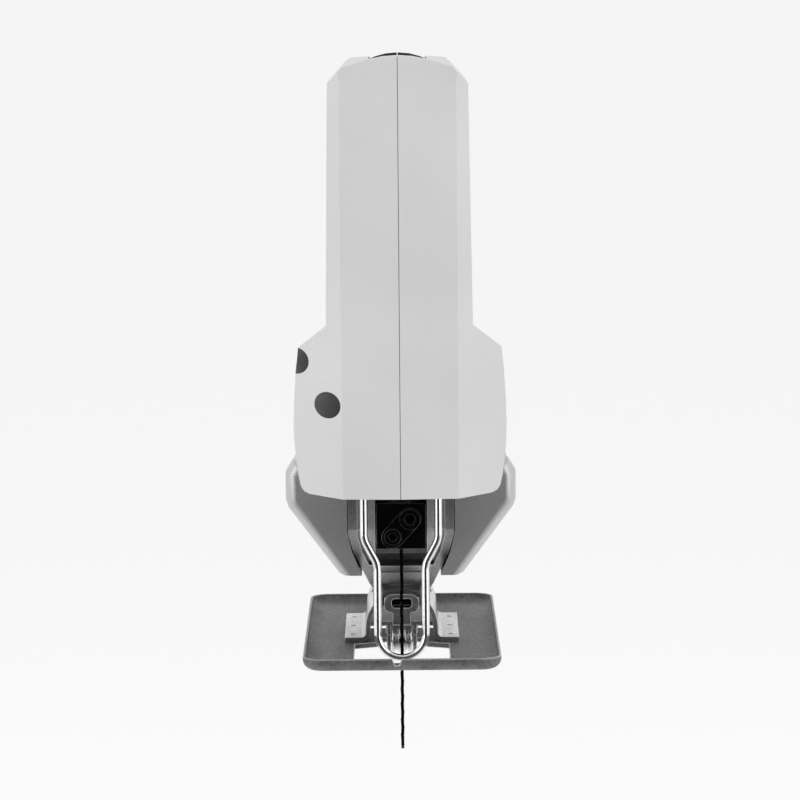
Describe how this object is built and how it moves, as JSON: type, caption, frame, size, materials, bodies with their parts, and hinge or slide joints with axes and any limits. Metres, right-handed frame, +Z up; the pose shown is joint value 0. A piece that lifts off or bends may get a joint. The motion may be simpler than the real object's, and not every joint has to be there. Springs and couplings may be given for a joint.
{
  "type": "jigsaw power tool",
  "caption": "Corded jigsaw with a closed D handle, pale clamshell housing, grey belly cover, wire guard, clamped saw blade, roller support and a pressed steel sole that tilts",
  "frame": {"origin": "mid-width and mid-length of the sole, on its underside", "axes": "+Z up, the blade end towards -Y, the tool's own left side towards +X"},
  "size_m": [0.0884, 0.213, 0.2672],
  "materials": {
    "housing_plastic": "moulded nylon with a fine spark-eroded grain",
    "soft_grip": "soft overmoulded rubber",
    "zinc_screws": "zinc plated",
    "cast_alloy": "die-cast, as cast",
    "chromed_wire": "bright chromed steel wire",
    "belly_plastic": "moulded grey plastic with a fine grain",
    "dark_plastic": "moulded black plastic",
    "sintered_bronze": "sintered bronze",
    "bright_steel": "ground and hardened steel",
    "laminated_iron": "stacked sheet iron",
    "copper": "enamelled copper",
    "carbon": "pressed carbon",
    "black_oxide_steel": "black oxide finish",
    "zinc_plated_steel": "pressed sheet, zinc plated and lightly rubbed"
  },
  "bodies": {
    "housing": {"left_shell": "housing_plastic", "right_shell": "housing_plastic", "left_grip": "soft_grip", "right_grip": "soft_grip", "housing_screws": "zinc_screws", "gear_case": "cast_alloy", "bearing_plate": "cast_alloy", "wire_guard": "chromed_wire", "belly_cover": "belly_plastic", "belly_screws": "zinc_screws", "dust_outlet": "dark_plastic", "plunger_bushes": "sintered_bronze", "gear_shaft": "bright_steel", "stator_core": "laminated_iron", "field_coils": "copper", "bearing_outer_rings": "bright_steel", "bearing_balls": "bright_steel", "brush_holders": "dark_plastic", "carbon_brushes": "carbon", "brush_springs": "bright_steel", "air_baffle": "dark_plastic", "switch_body": "dark_plastic", "cord_gland": "soft_grip", "speed_control": "dark_plastic", "lever_pin": "bright_steel", "sole_clamp_plate": "zinc_plated_steel", "sole_clamp_bolt": "black_oxide_steel", "trigger_spring": "bright_steel"},
    "armature": {"armature_shaft": "bright_steel", "armature_core": "laminated_iron", "commutator": "copper", "cooling_fan": "dark_plastic", "bearing_inner_rings": "bright_steel"},
    "crank": {"crank_gear": "bright_steel", "crank_pin": "bright_steel", "crank_roller": "bright_steel"},
    "plunger": {"plunger_rod": "bright_steel", "plunger_yoke": "bright_steel", "clamp_block": "black_oxide_steel", "clamp_pad": "black_oxide_steel", "clamp_screws": "black_oxide_steel", "saw_blade": "black_oxide_steel"},
    "support_lever": {"roller_lever": "zinc_plated_steel", "roller_pin": "bright_steel"},
    "support_roller": {"guide_roller": "bright_steel"},
    "sole": {"sole_plate": "zinc_plated_steel", "tilt_bracket": "zinc_plated_steel"},
    "trigger": {"trigger": "dark_plastic"},
    "lock_button": {"lock_button": "dark_plastic"},
    "speed_dial": {"speed_dial": "dark_plastic"},
    "orbit_selector": {"orbit_selector": "dark_plastic"}
  },
  "joints": [
    {"name": "motor_spin", "type": "hinge", "parent": "housing", "child": "armature", "pos_m": [0, 0.035, 0.096], "axis": [0, 1, 0], "continuous": true},
    {"name": "crank_spin", "type": "hinge", "parent": "housing", "child": "crank", "pos_m": [0, -0.022, 0.121], "axis": [0, 1, 0], "continuous": true},
    {"name": "plunger_stroke", "type": "slide", "parent": "housing", "child": "plunger", "axis": [0, 0, 1], "range_m": [-0.018, 0]},
    {"name": "support_swing", "type": "hinge", "parent": "housing", "child": "support_lever", "pos_m": [0, -0.0238, 0.018], "axis": [1, 0, 0], "range_deg": [0, 6]},
    {"name": "roller_spin", "type": "hinge", "parent": "support_lever", "child": "support_roller", "pos_m": [0, -0.0332, 0.005], "axis": [1, 0, 0], "continuous": true},
    {"name": "sole_tilt", "type": "hinge", "parent": "housing", "child": "sole", "pos_m": [0, 0, 0.008], "axis": [0, 1, 0], "range_deg": [-45, 45]},
    {"name": "trigger_pull", "type": "slide", "parent": "housing", "child": "trigger", "axis": [0, 0, 1], "range_m": [0, 0.005], "stiffness_N_per_m": 800, "deforming": ["trigger_spring"]},
    {"name": "lock_press", "type": "slide", "parent": "housing", "child": "lock_button", "axis": [1, 0, 0], "range_m": [-0.0024, 0], "stiffness_N_per_m": 400},
    {"name": "dial_turn", "type": "hinge", "parent": "housing", "child": "speed_dial", "pos_m": [0, 0.113, 0.112], "axis": [1, 0, 0], "range_deg": [0, 270]},
    {"name": "orbit_turn", "type": "hinge", "parent": "housing", "child": "orbit_selector", "pos_m": [0.037, -0.015, 0.086], "axis": [1, 0, 0], "range_deg": [0, 90]}
  ],
  "couplings": [
    {"joint": "crank_spin", "follows": "motor_spin", "ratio": -0.21951}
  ]
}
